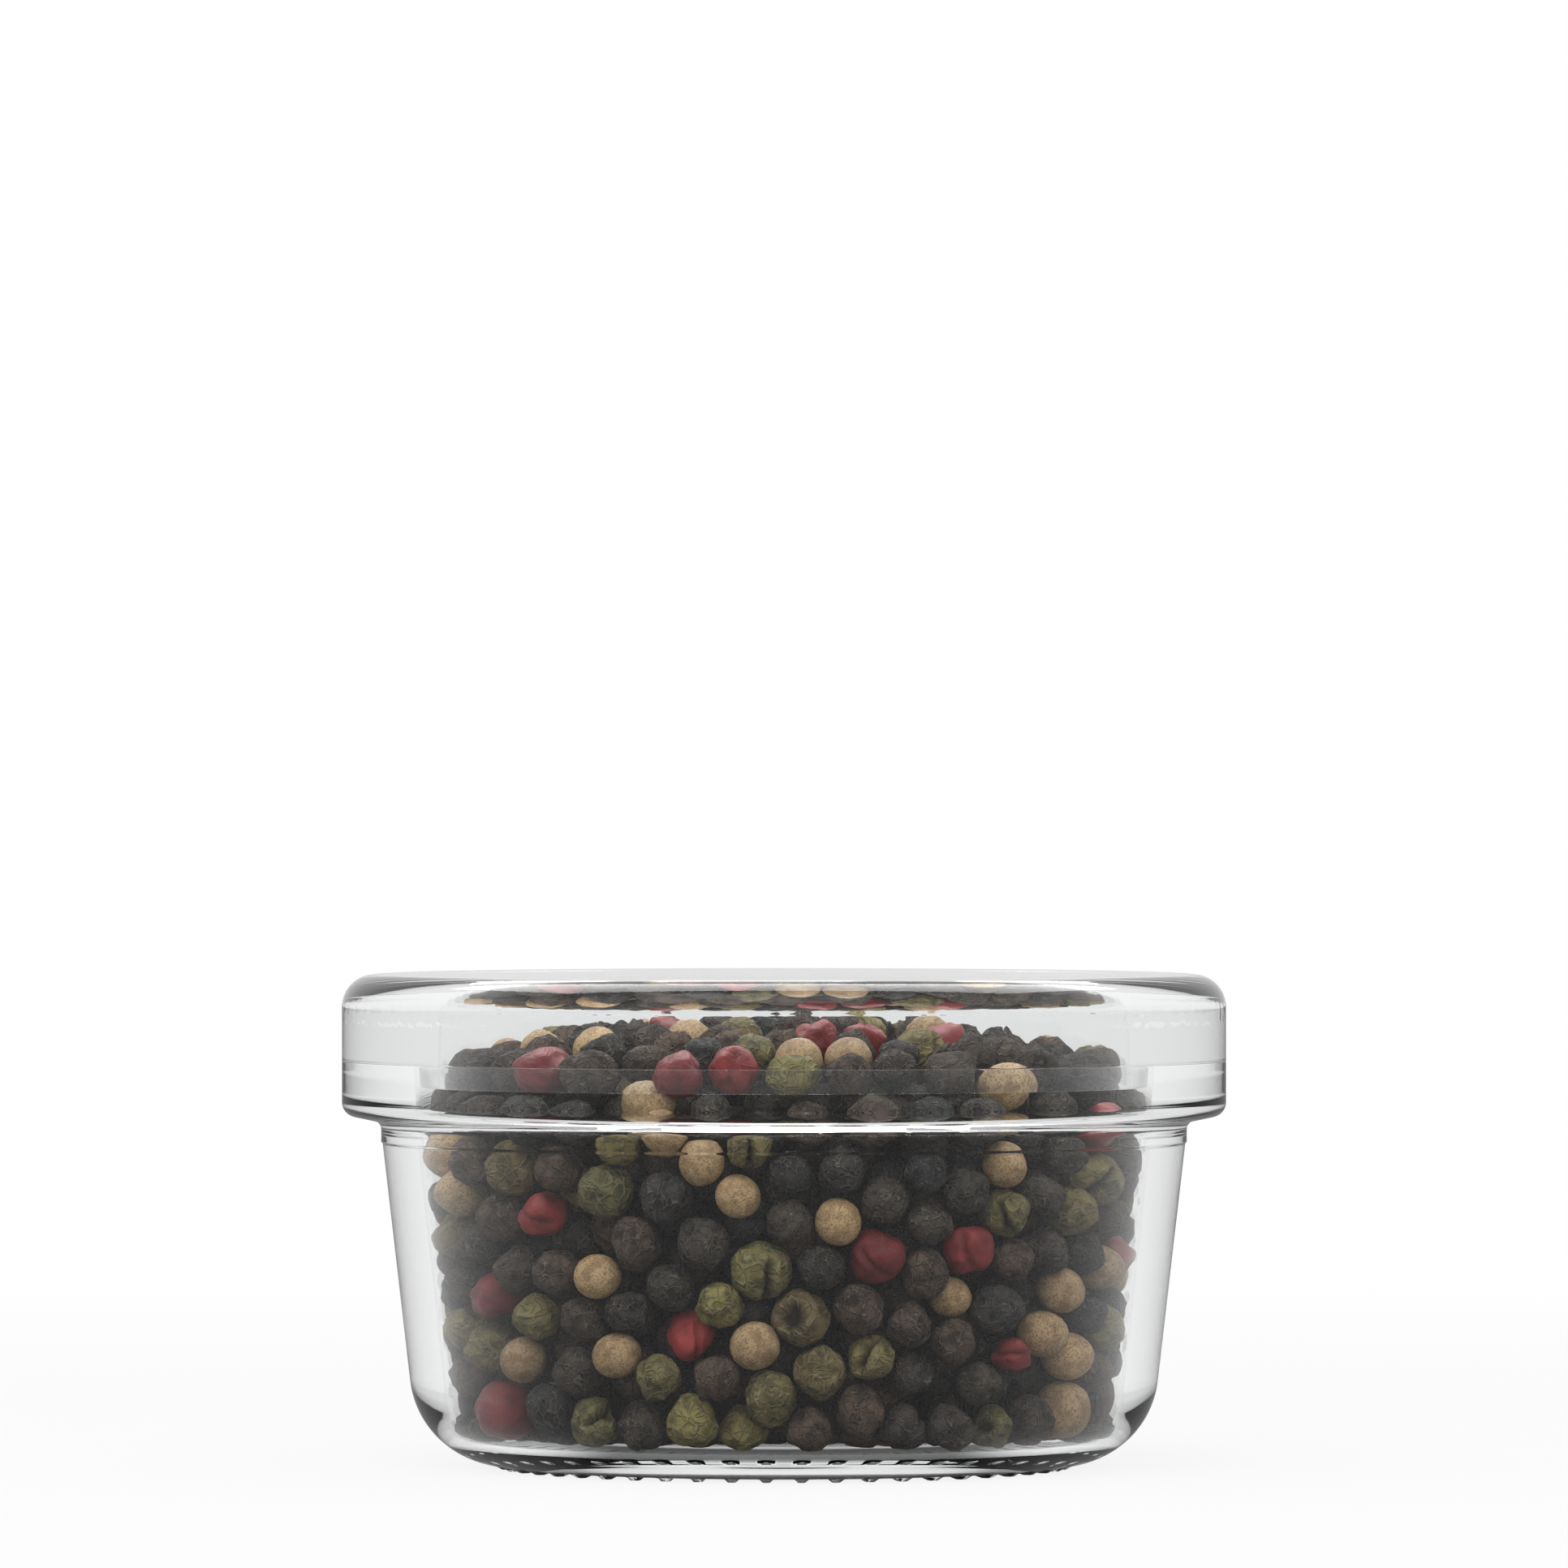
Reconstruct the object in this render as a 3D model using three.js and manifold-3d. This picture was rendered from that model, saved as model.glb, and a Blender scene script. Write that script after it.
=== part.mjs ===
// A low round rim jar of clear pressed glass, its loose glass lid and the peppercorns that fill it.
// Millimetres, +Z up. The origin is on the jar's axis, on the surface that it stands on.
import * as THREE from 'three';
import { mergeVertices } from 'three/addons/utils/BufferGeometryUtils.js';
import Module from 'manifold-3d';

// Jar, outside
const rimDiameter = 88; // the lid is flush with it
const jarHeight = 40.5; // up to the land that carries the lid
const rimBand = 3.9; // straight outer band of the rim, above its lower round
const rimOverhang = 3.9; // how far the rim stands out past the neck
const rimLowerRound = 1.4;
const rimUnderslope = 12; // degrees that the rim's underside falls towards the neck
const neckFillet = 0.9;
const neckHeight = 2.1; // straight neck between the rim and the mould's parting line
const partingStep = 0.15; // the neck stands out past the body by this much
const bodyDraft = 6.6; // degrees
const heelRadius = 9.4;

// Jar, inside
const wallAtNeck = 3.7;
const wallAtFloor = 3.3;
const mouthDraft = 3; // degrees that the mouth widens by, up to the rim's land
const mouthDepth = 5.9; // from the rim's land down to the tapered wall
const mouthBlend = 2; // round between the mouth and the wall
const mouthRound = 0.3;
const floorThickness = 2.8; // from the bearing ring's glass up to the inner floor
const floorFillet = 4;

// Base of the jar
const pushUp = 1.2; // how far the middle of the base is raised
const pushUpSlope = 7; // width of the raised middle's sloping border
const pushUpRound = 6;
const bearingLand = 1.8; // flat glass between the heel and the raised middle
const ridgeCount = 52;
const ridgeHeight = 0.3;
const ridgeWidth = 1.2;
const ridgeInward = 0.9; // length of a ridge on the flat land
const ridgeOutward = 0.9; // length of a ridge on the heel

// Lid
const lidHeight = 8.5; // from the land that rests on the rim to the flat top
const lidPlate = 2.7; // glass above the hollow
const lidCorner = 3.2;
const lipDepth = 2.5; // how far the lip hangs into the mouth
const lipWall = 1.9; // at the lip's foot
const lipClearance = 0.5; // between the lip and the mouth, all round
const lipRound = 0.25;
const hollowDraft = 1; // degrees
const hollowFillet = 0.7;
const landFillet = 0.2;
const seatGap = 0.05; // between the lid and the rim
const edgeRound = 0.1; // of the two edges that meet at the seam

// Peppercorns
const cornDiameter = 5.2;
const cornDent = 1.9; // how deep the skin of the fill dips between corns
const cornsAround = 36; // in a row on the wall
const fillGap = 0.3; // between the fill and the glass
const shoulderFall = 1.5; // from the lip's foot down to where the fill meets the wall
const headspace = 1.5; // between the top of the heap and the lid
const heapSlope = 4; // degrees

// Facets
const roundFacets = 64;
const facetsPerCorn = 4; // along a row of corns
const arcSag = 0.05; // how far a facet of a round may lie inside it

const slope = (degrees) => Math.tan(THREE.MathUtils.degToRad(degrees));
const wasm = await Module();
wasm.setup();

// An outline of corner points [radius, height, round], with each round made as an arc
function outline(corners) {
  const points = corners.map(([r, z]) => new THREE.Vector2(r, z));
  const rounded = [];
  corners.forEach(([, , round], i) => {
    const corner = points[i];
    if (!round) {
      rounded.push(corner);
      return;
    }
    const back = points[i - 1].clone().sub(corner);
    const ahead = points[i + 1].clone().sub(corner);
    const shortest = Math.min(back.length(), ahead.length());
    back.normalize();
    ahead.normalize();
    const half = Math.acos(THREE.MathUtils.clamp(back.dot(ahead), -1, 1)) / 2;
    const reach = Math.min(round / Math.tan(half), 0.49 * shortest);
    const radius = reach * Math.tan(half);
    const middle = back.clone().add(ahead).normalize();
    const centre = corner.clone().addScaledVector(middle, radius / Math.sin(half));
    const start = corner.clone().addScaledVector(back, reach).sub(centre);
    const side = Math.sign(start.cross(ahead)) || 1;
    const sweep = side * (Math.PI - 2 * half);
    const widest = 2 * Math.acos(Math.max(0, 1 - arcSag / radius));
    const steps = Math.max(2, Math.ceil(Math.abs(sweep) / widest));
    for (let k = 0; k <= steps; k += 1) {
      rounded.push(start.clone().rotateAround(new THREE.Vector2(), (sweep * k) / steps).add(centre));
    }
  });
  return rounded;
}

// A solid of revolution about +Z
function revolve(points) {
  return new THREE.LatheGeometry(points, roundFacets).rotateX(Math.PI / 2);
}

// A geometry as a solid that can be joined, and back
function solidOf(geometry) {
  const bare = geometry.clone().deleteAttribute('normal').deleteAttribute('uv');
  const merged = mergeVertices(bare);
  const vertProperties = merged.getAttribute('position').array;
  const triVerts = new Uint32Array(merged.index.array);
  return new wasm.Manifold(new wasm.Mesh({ numProp: 3, vertProperties, triVerts }));
}

function geometryOf(solid) {
  const { vertProperties, triVerts } = solid.getMesh();
  const geometry = new THREE.BufferGeometry();
  geometry.setAttribute('position', new THREE.BufferAttribute(vertProperties, 3));
  geometry.setIndex(new THREE.BufferAttribute(triVerts, 1));
  geometry.computeVertexNormals();
  return geometry;
}

// Radii and heights that the pieces share
const rimRadius = rimDiameter / 2;
const neckRadius = rimRadius - rimOverhang;
const rimFoot = jarHeight - rimBand - rimLowerRound; // underside of the rim at its outer edge
const neckTop = rimFoot - rimOverhang * slope(rimUnderslope);
const partingHeight = neckTop - neckHeight;
const bodyRadius = neckRadius - partingStep;
const baseHeight = ridgeHeight; // the ridges alone touch the surface below
const heelCorner = bodyRadius - (partingHeight - baseHeight) * slope(bodyDraft);
const floorHeight = baseHeight + floorThickness;
const floorRadius = bodyRadius - (partingHeight - floorHeight) * slope(bodyDraft) - wallAtFloor;
const innerSlope = (neckRadius - wallAtNeck - floorRadius) / (partingHeight - floorHeight);
const innerRadius = (height) => floorRadius + (height - floorHeight) * innerSlope;
const heelAngle = THREE.MathUtils.degToRad(90 - bodyDraft) / 2;
const landRadius = heelCorner - heelRadius * Math.tan(heelAngle); // where the heel meets the flat land
const lidLand = jarHeight + seatGap;
const lidTop = lidLand + lidHeight;
const ceiling = lidTop - lidPlate;
const lipFoot = lidLand - lipDepth;
const mouthFoot = jarHeight - mouthDepth;
const mouthRadius = (height) => innerRadius(mouthFoot) + (height - mouthFoot) * slope(mouthDraft);
const lipOuter = mouthRadius(lipFoot) - lipClearance;
const lipInner = lipOuter - lipWall;
const hollowRadius = lipInner - (ceiling - lipFoot) * slope(hollowDraft);

function jarGeometry() {
  const raisedRadius = landRadius - bearingLand;
  const glass = revolve(
    outline([
      [0, baseHeight + pushUp],
      [raisedRadius - pushUpSlope, baseHeight + pushUp, pushUpRound],
      [raisedRadius, baseHeight, pushUpRound],
      [heelCorner, baseHeight, heelRadius],
      [bodyRadius, partingHeight],
      [neckRadius, partingHeight + partingStep],
      [neckRadius, neckTop, neckFillet],
      [rimRadius, rimFoot, rimLowerRound],
      [rimRadius, jarHeight, edgeRound],
      [mouthRadius(jarHeight), jarHeight, mouthRound],
      [innerRadius(mouthFoot), mouthFoot, mouthBlend],
      [floorRadius, floorHeight, floorFillet],
      [0, floorHeight],
    ]),
  );
  let jar = solidOf(glass);
  const ridge = ridgeGeometry();
  for (let i = 0; i < ridgeCount; i += 1) {
    const turned = ridge.clone().rotateZ((i / ridgeCount) * Math.PI * 2);
    jar = jar.add(solidOf(turned));
  }
  return geometryOf(jar);
}

// One radial ridge of the bearing ring, along +X, with its root buried in the glass
function ridgeGeometry() {
  const inner = landRadius - ridgeInward;
  const outer = landRadius + ridgeOutward;
  const heelRise = heelRadius - Math.sqrt(heelRadius ** 2 - ridgeOutward ** 2);
  const root = baseHeight + heelRise + ridgeHeight;
  const side = new THREE.Shape([
    new THREE.Vector2(inner, root),
    new THREE.Vector2(inner, baseHeight),
    new THREE.Vector2(inner + ridgeHeight, 0),
    new THREE.Vector2(landRadius + ridgeOutward / 2, 0),
    new THREE.Vector2(outer, baseHeight + heelRise),
    new THREE.Vector2(outer, root),
  ]);
  const ridge = new THREE.ExtrudeGeometry(side, { depth: ridgeWidth, bevelEnabled: false });
  return ridge.translate(0, 0, -ridgeWidth / 2).rotateX(Math.PI / 2);
}

// A pressed plate with a round upper edge, hollow below, with a lip that centres it in the mouth
function lidGeometry() {
  return revolve(
    outline([
      [0, ceiling],
      [hollowRadius, ceiling, hollowFillet],
      [lipInner, lipFoot, lipRound],
      [lipOuter, lipFoot, lipRound],
      [lipOuter + lipDepth * slope(mouthDraft), lidLand, landFillet],
      [rimRadius, lidLand, edgeRound],
      [rimRadius, lidTop, lidCorner],
      [0, lidTop],
    ]),
  );
}

// Depth of the fill's skin at a distance from the top of the nearest corn
function dipAt(distance) {
  const half = cornDiameter / 2;
  const fall = half - Math.sqrt(Math.max(half ** 2 - distance ** 2, 0));
  return Math.min(fall, cornDent);
}

// The outline of the fill: along the wall, under the lip, up inside the lid and over the heap
function fillLine() {
  const floor = floorHeight + fillGap;
  const shoulder = lipFoot - fillGap;
  const edge = hollowRadius - fillGap;
  const peak = ceiling - headspace;
  const border = 2 * floorFillet; // room on the floor for the round at the wall
  const path = new THREE.Path(
    outline([
      [floorRadius - fillGap - border, floor],
      [floorRadius - fillGap, floor, floorFillet],
      [innerRadius(shoulder - shoulderFall) - fillGap, shoulder - shoulderFall],
      [edge, shoulder],
      [edge, peak - edge * slope(heapSlope), cornDiameter / 2],
      [0, peak],
    ]),
  );
  const rowHeight = (cornDiameter * Math.sqrt(3)) / 2;
  return path.getSpacedPoints(2 * Math.round(path.getLength() / rowHeight));
}

// The peppercorns as one mass, with staggered rows of corns in its skin, two rings of points to a row
function fillGeometry() {
  const line = fillLine();
  const rings = line.length - 1;
  const ringStep = line[0].distanceTo(line[1]);
  const columns = cornsAround * facetsPerCorn;
  const cornsIn = (row) => {
    const round = 2 * Math.PI * line[THREE.MathUtils.clamp(2 * row, 0, rings)].x;
    return THREE.MathUtils.clamp(Math.round(round / cornDiameter), 1, cornsAround);
  };
  const toCorn = (ring, turn) => {
    const distances = [-1, 0, 1].map((step) => {
      const row = Math.floor(ring / 2) + step;
      const place = turn * cornsIn(row) - (row % 2) / 2;
      const aside = ((place - Math.round(place)) / cornsIn(row)) * 2 * Math.PI * line[ring].x;
      return Math.hypot(aside, (ring - 2 * row) * ringStep);
    });
    return Math.min(...distances);
  };
  const positions = [0, 0, line[0].y];
  const dips = [0];
  for (let j = 0; j < rings; j += 1) {
    const along = line[j + 1].clone().sub(line[Math.max(j - 1, 0)]).normalize();
    for (let i = 0; i < columns; i += 1) {
      const turn = (i + 0.5) / columns;
      const angle = turn * Math.PI * 2;
      const dip = j === 0 ? 0 : dipAt(toCorn(j, turn));
      const radius = line[j].x - along.y * dip;
      positions.push(radius * Math.cos(angle), radius * Math.sin(angle), line[j].y + along.x * dip);
      dips.push(dip);
    }
  }
  positions.push(0, 0, line[rings].y);
  return netGeometry(positions, dips, rings, columns);
}

// Triangles over rings of points, closed by the first point below and the last point above.
// Each four points are split from high to high, so that the corns come out round.
function netGeometry(positions, dips, rings, columns) {
  const index = [];
  const last = rings * columns + 1;
  const at = (ring, column) => 1 + ring * columns + (column % columns);
  for (let i = 0; i < columns; i += 1) {
    index.push(0, at(0, i + 1), at(0, i));
    for (let j = 0; j < rings - 1; j += 1) {
      const [a, b, c, d] = [at(j, i), at(j, i + 1), at(j + 1, i + 1), at(j + 1, i)];
      if (dips[a] + dips[c] < dips[b] + dips[d]) {
        index.push(a, b, c, a, c, d);
      } else {
        index.push(a, b, d, b, c, d);
      }
    }
    index.push(at(rings - 1, i), at(rings - 1, i + 1), last);
  }
  const geometry = new THREE.BufferGeometry();
  geometry.setAttribute('position', new THREE.Float32BufferAttribute(positions, 3));
  geometry.setIndex(index);
  geometry.computeVertexNormals();
  return geometry;
}

function named(name, geometry, look) {
  const mesh = new THREE.Mesh(geometry, new THREE.MeshStandardMaterial(look));
  mesh.name = name;
  return mesh;
}

const clearGlass = { color: 0xf1f5f4, roughness: 0.05, metalness: 0, transparent: true, opacity: 0.35 };
const driedCorns = { color: 0x4a3f33, roughness: 0.85, metalness: 0 };

const jar = new THREE.Group();
jar.add(named('jar_body', jarGeometry(), clearGlass));
jar.add(named('peppercorn_fill', fillGeometry(), driedCorns));
jar.add(named('lid', lidGeometry(), clearGlass));

export default jar;
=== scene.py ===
import math

import bpy
import numpy as np
from mathutils import Euler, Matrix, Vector


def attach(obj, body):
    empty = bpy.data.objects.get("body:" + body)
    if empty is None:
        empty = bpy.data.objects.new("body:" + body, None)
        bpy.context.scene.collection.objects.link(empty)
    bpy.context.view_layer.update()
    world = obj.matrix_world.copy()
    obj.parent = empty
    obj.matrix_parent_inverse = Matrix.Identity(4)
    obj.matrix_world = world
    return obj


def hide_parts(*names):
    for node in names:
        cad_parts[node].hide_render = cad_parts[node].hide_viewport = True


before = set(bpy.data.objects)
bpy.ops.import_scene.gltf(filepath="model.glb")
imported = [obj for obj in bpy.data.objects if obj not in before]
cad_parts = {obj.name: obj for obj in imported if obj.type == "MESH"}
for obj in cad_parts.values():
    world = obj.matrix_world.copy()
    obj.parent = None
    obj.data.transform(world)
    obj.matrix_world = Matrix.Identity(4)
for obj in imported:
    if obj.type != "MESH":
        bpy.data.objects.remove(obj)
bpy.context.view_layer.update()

scene = bpy.context.scene
mm = 0.001


# An output socket. Operators on it add Math nodes, and of() gives its node's other outputs.
class Link:
    def __init__(self, net, out):
        self.net = net
        self.out = out

    def of(self, name):
        return Link(self.net, self.out.node.outputs[name])

    def math(self, operation, *values):
        return self.net.add("ShaderNodeMath", {"operation": operation}, dict(enumerate(values)))

    def __add__(self, other):
        return self.math("ADD", self, other)

    def __radd__(self, other):
        return self.math("ADD", other, self)

    def __sub__(self, other):
        return self.math("SUBTRACT", self, other)

    def __rsub__(self, other):
        return self.math("SUBTRACT", other, self)

    def __mul__(self, other):
        return self.math("MULTIPLY", self, other)

    def __rmul__(self, other):
        return self.math("MULTIPLY", other, self)

    def __truediv__(self, other):
        return self.math("DIVIDE", self, other)

    def __rtruediv__(self, other):
        return self.math("DIVIDE", other, self)


# A node tree. add() takes a node's type, its settings and then its sockets' values or links.
class Net:
    def __init__(self, tree):
        self.tree = tree
        tree.nodes.clear()

    def add(self, kind, settings=None, sockets=None, out=0):
        node = self.tree.nodes.new(kind)
        for name, value in (settings or {}).items():
            if name == "stops":
                self.fillRamp(node.color_ramp, value)
            else:
                setattr(node, name, value)
        for key, value in (sockets or {}).items():
            if isinstance(value, Link):
                self.tree.links.new(value.out, node.inputs[key])
            else:
                node.inputs[key].default_value = value
        return Link(self, node.outputs[out]) if node.outputs else None

    def fillRamp(self, ramp, stops):
        while len(ramp.elements) < len(stops):
            ramp.elements.new(1.0)
        for element, (place, colour) in zip(ramp.elements, stops):
            element.position = place
            element.color = (*colour, 1.0)

    def attribute(self, name):
        return self.add("ShaderNodeAttribute", {"attribute_name": name})

    def ramp(self, value, stops):
        return self.add("ShaderNodeValToRGB", {"stops": stops}, {0: value})

    def blend(self, share, first, second, way="MIX"):
        colours = {0: share, 6: first, 7: second}
        return self.add("ShaderNodeMix", {"data_type": "RGBA", "blend_type": way}, colours, 2)

    # A smooth step: 0 where value is at low, 1 where it is at high.
    def step(self, value, low, high):
        sockets = {"Value": value, "From Min": low, "From Max": high}
        return self.add("ShaderNodeMapRange", {"interpolation_type": "SMOOTHSTEP"}, sockets)

    def noise(self, place, scale, detail, **more):
        sockets = {"Vector": place, "Scale": scale, "Detail": detail}
        sockets.update({name.capitalize(): value for name, value in more.items()})
        return self.add("ShaderNodeTexNoise", None, sockets)

    # A place's three coordinates and its distance from the axis.
    def fromAxis(self, place):
        axes = self.add("ShaderNodeSeparateXYZ", None, {0: place})
        x, y, z = axes.of("X"), axes.of("Y"), axes.of("Z")
        square = x * x + y * y
        return x, y, z, square.math("SQRT", square)

    # Moves a pattern for each corn, so that no two are alike.
    def ownPlace(self, local, seed):
        stride = (17.3, 31.7, 7.1)
        shift = self.add("ShaderNodeCombineXYZ", None, {i: seed * stride[i] for i in range(3)})
        return self.add("ShaderNodeVectorMath", {"operation": "ADD"}, {0: local, 1: shift})


def newMaterial(name):
    material = bpy.data.materials.new(name)
    material.use_nodes = True
    return material, Net(material.node_tree)


def newTree(name, inputs):
    tree = bpy.data.node_groups.new(name, "GeometryNodeTree")
    net = Net(tree)
    tree.interface.new_socket("Geometry", in_out="OUTPUT", socket_type="NodeSocketGeometry")
    for title, kind in inputs.items():
        tree.interface.new_socket(title, in_out="INPUT", socket_type="NodeSocket" + kind)
    return tree, net, net.add("NodeGroupInput")


# Runs a tree on a mesh and returns the result as a plain object at the origin.
def grow(name, mesh, tree, values):
    seedling = bpy.data.objects.new(name + ".seed", mesh)
    scene.collection.objects.link(seedling)
    modifier = seedling.modifiers.new("shape", "NODES")
    modifier.node_group = tree
    for item in tree.interface.items_tree:
        if item.in_out == "INPUT" and item.name in values:
            modifier[item.identifier] = values[item.name]
    depsgraph = bpy.context.evaluated_depsgraph_get()
    plain = bpy.data.meshes.new_from_object(seedling.evaluated_get(depsgraph))
    bpy.data.objects.remove(seedling)
    piece = bpy.data.objects.new(name, plain)
    plain.name = name
    scene.collection.objects.link(piece)
    return piece


# Camera, at the height and distance that the ellipses of the rim give
shot = {"distance": 1219.0, "height": 68.0, "lens": 281.0, "sensor": 36.0, "pixels": 1932}
camera = bpy.data.objects.new("camera", bpy.data.cameras.new("camera"))
camera.data.lens = shot["lens"]
camera.data.sensor_width = shot["sensor"]
camera.data.clip_start = 0.05
camera.location = (0, -shot["distance"] * mm, shot["height"] * mm)
camera.rotation_euler = (math.radians(90), 0, 0)
scene.collection.objects.link(camera)
scene.camera = camera
print("camera set")


# Jar and lid (mm), in the solids' own sizes apart from sharper edges and a closer seam
jar = {
    "rimRadius": 44.0, "height": 40.5, "rimBand": 3.9, "overhang": 3.9, "rimRound": 1.4,
    "underslope": 12.0, "neckFillet": 0.9, "neckHeight": 2.1, "partingStep": 0.15, "draft": 6.6,
    "heel": 9.4, "wallAtNeck": 3.7, "wallAtFloor": 3.3, "mouthDraft": 3.0, "mouthDepth": 5.9,
    "mouthBlend": 2.0, "mouthRound": 0.04, "floor": 2.8, "floorFillet": 4.0, "pushUp": 1.2,
    "pushUpSlope": 7.0, "pushUpRound": 6.0, "land": 1.8, "ridges": 52, "ridgeHeight": 0.3,
    "ridgeWidth": 1.2, "ridgeInward": 0.9, "ridgeOutward": 0.9, "ridgeReach": 1.5,
    "edgeRound": 0.012, "columns": 520,
}
lid = {
    "height": 8.5, "plate": 2.7, "corner": 3.2, "lipDepth": 2.5, "lipWall": 1.9, "clearance": 0.5,
    "lipRound": 0.02, "hollowDraft": 1.0, "hollowFillet": 0.7, "landFillet": 0.02,
    "seatGap": 0.05, "landGap": 0.006,  # the solids' gap at the seat, and the finer one drawn here
    "edgeRound": 0.012, "columns": 400, "longestStep": 0.9,
    "rippleDepth": 0.035, "ripplePitch": 2.6, "rippleAbove": 0.05, "rippleInset": 0.3,
}


def slope(degrees):
    return math.tan(math.radians(degrees))


neckRadius = jar["rimRadius"] - jar["overhang"]
rimFoot = jar["height"] - jar["rimBand"] - jar["rimRound"]
neckTop = rimFoot - jar["overhang"] * slope(jar["underslope"])
parting = neckTop - jar["neckHeight"]
bodyRadius = neckRadius - jar["partingStep"]
base = jar["ridgeHeight"]
heelCorner = bodyRadius - (parting - base) * slope(jar["draft"])
floorTop = base + jar["floor"]
floorRadius = bodyRadius - (parting - floorTop) * slope(jar["draft"]) - jar["wallAtFloor"]
innerSlope = (neckRadius - jar["wallAtNeck"] - floorRadius) / (parting - floorTop)
landRadius = heelCorner - jar["heel"] * slope((90 - jar["draft"]) / 2)
lidLand = jar["height"] + lid["seatGap"]
lidTop = lidLand + lid["height"]
ceiling = lidTop - lid["plate"]
lipFoot = lidLand - lid["lipDepth"]


def innerRadius(z):
    return floorRadius + (z - floorTop) * innerSlope


mouthFoot = jar["height"] - jar["mouthDepth"]
mouthRadius = innerRadius(mouthFoot) + jar["mouthDepth"] * slope(jar["mouthDraft"])
lipOuter = innerRadius(mouthFoot) + (lipFoot - mouthFoot) * slope(jar["mouthDraft"]) - lid["clearance"]
lipTop = lipOuter + lid["lipDepth"] * slope(jar["mouthDraft"])
lipInner = lipOuter - lid["lipWall"]
hollowRadius = lipInner - (ceiling - lipFoot) * slope(lid["hollowDraft"])
landHeight = jar["height"] + lid["landGap"]


# A line of (radius, height) through corners that each have their own rounding.
def roundedLine(corners, sag=0.004, longest=2.5, guard=0.12):
    points = []
    for i, corner in enumerate(corners):
        here = Vector(corner[:2])
        rounding = corner[2] if len(corner) > 2 else 0.0
        if not rounding:
            points.append((here, False))
            continue
        back = (Vector(corners[i - 1][:2]) - here).normalized()
        ahead = (Vector(corners[i + 1][:2]) - here).normalized()
        half = back.angle(ahead) / 2
        centre = here + (back + ahead).normalized() * (rounding / math.sin(half))
        start = here + back * (rounding / math.tan(half)) - centre
        sweep = math.pi - 2 * half
        turn = 1 if back.x * ahead.y - back.y * ahead.x < 0 else -1
        steps = max(3, math.ceil(sweep / (2 * math.acos(1 - sag / rounding))))
        for k in range(steps + 1):
            angle = turn * sweep * k / steps
            spun = Vector((
                start.x * math.cos(angle) - start.y * math.sin(angle),
                start.x * math.sin(angle) + start.y * math.cos(angle),
            ))
            points.append((centre + spun, k > 0))
    line = [points[0][0]]
    for point, onArc in points[1:]:  # straight stretches get guard points, so that normals stay true
        last = line[-1]
        length = (point - last).length
        if not onArc and length > 3 * guard:
            inner = length - 2 * guard
            pieces = math.ceil(inner / longest)
            line += [last.lerp(point, (guard + inner * k / pieces) / length) for k in range(pieces + 1)]
        line.append(point)
    return line


def profileMesh(name, line):
    mesh = bpy.data.meshes.new(name)
    points = [(p.x * mm, -p.y * mm, 0) for p in line]
    mesh.from_pydata(points, [(i, i + 1) for i in range(len(points) - 1)], [])
    return mesh


raised = landRadius - jar["land"]
jarLine = roundedLine([
    (0, base + jar["pushUp"]),
    (raised - jar["pushUpSlope"], base + jar["pushUp"], jar["pushUpRound"]),
    (raised, base, jar["pushUpRound"]),
    (heelCorner, base, jar["heel"]),
    (bodyRadius, parting),
    (neckRadius, parting + jar["partingStep"]),
    (neckRadius, neckTop, jar["neckFillet"]),
    (jar["rimRadius"], rimFoot, jar["rimRound"]),
    (jar["rimRadius"], jar["height"], jar["edgeRound"]),
    (mouthRadius, jar["height"], jar["mouthRound"]),
    (innerRadius(mouthFoot), mouthFoot, jar["mouthBlend"]),
    (floorRadius, floorTop, jar["floorFillet"]),
    (0, floorTop),
])
lidLine = roundedLine([
    (0, ceiling),
    (hollowRadius, ceiling, lid["hollowFillet"]),
    (lipInner, lipFoot, lid["lipRound"]),
    (lipOuter, lipFoot, lid["lipRound"]),
    (lipTop, landHeight, lid["landFillet"]),
    (jar["rimRadius"], landHeight, lid["edgeRound"]),
    (jar["rimRadius"], lidTop, lid["corner"]),
    (0, lidTop),
], longest=lid["longestStep"])


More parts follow.
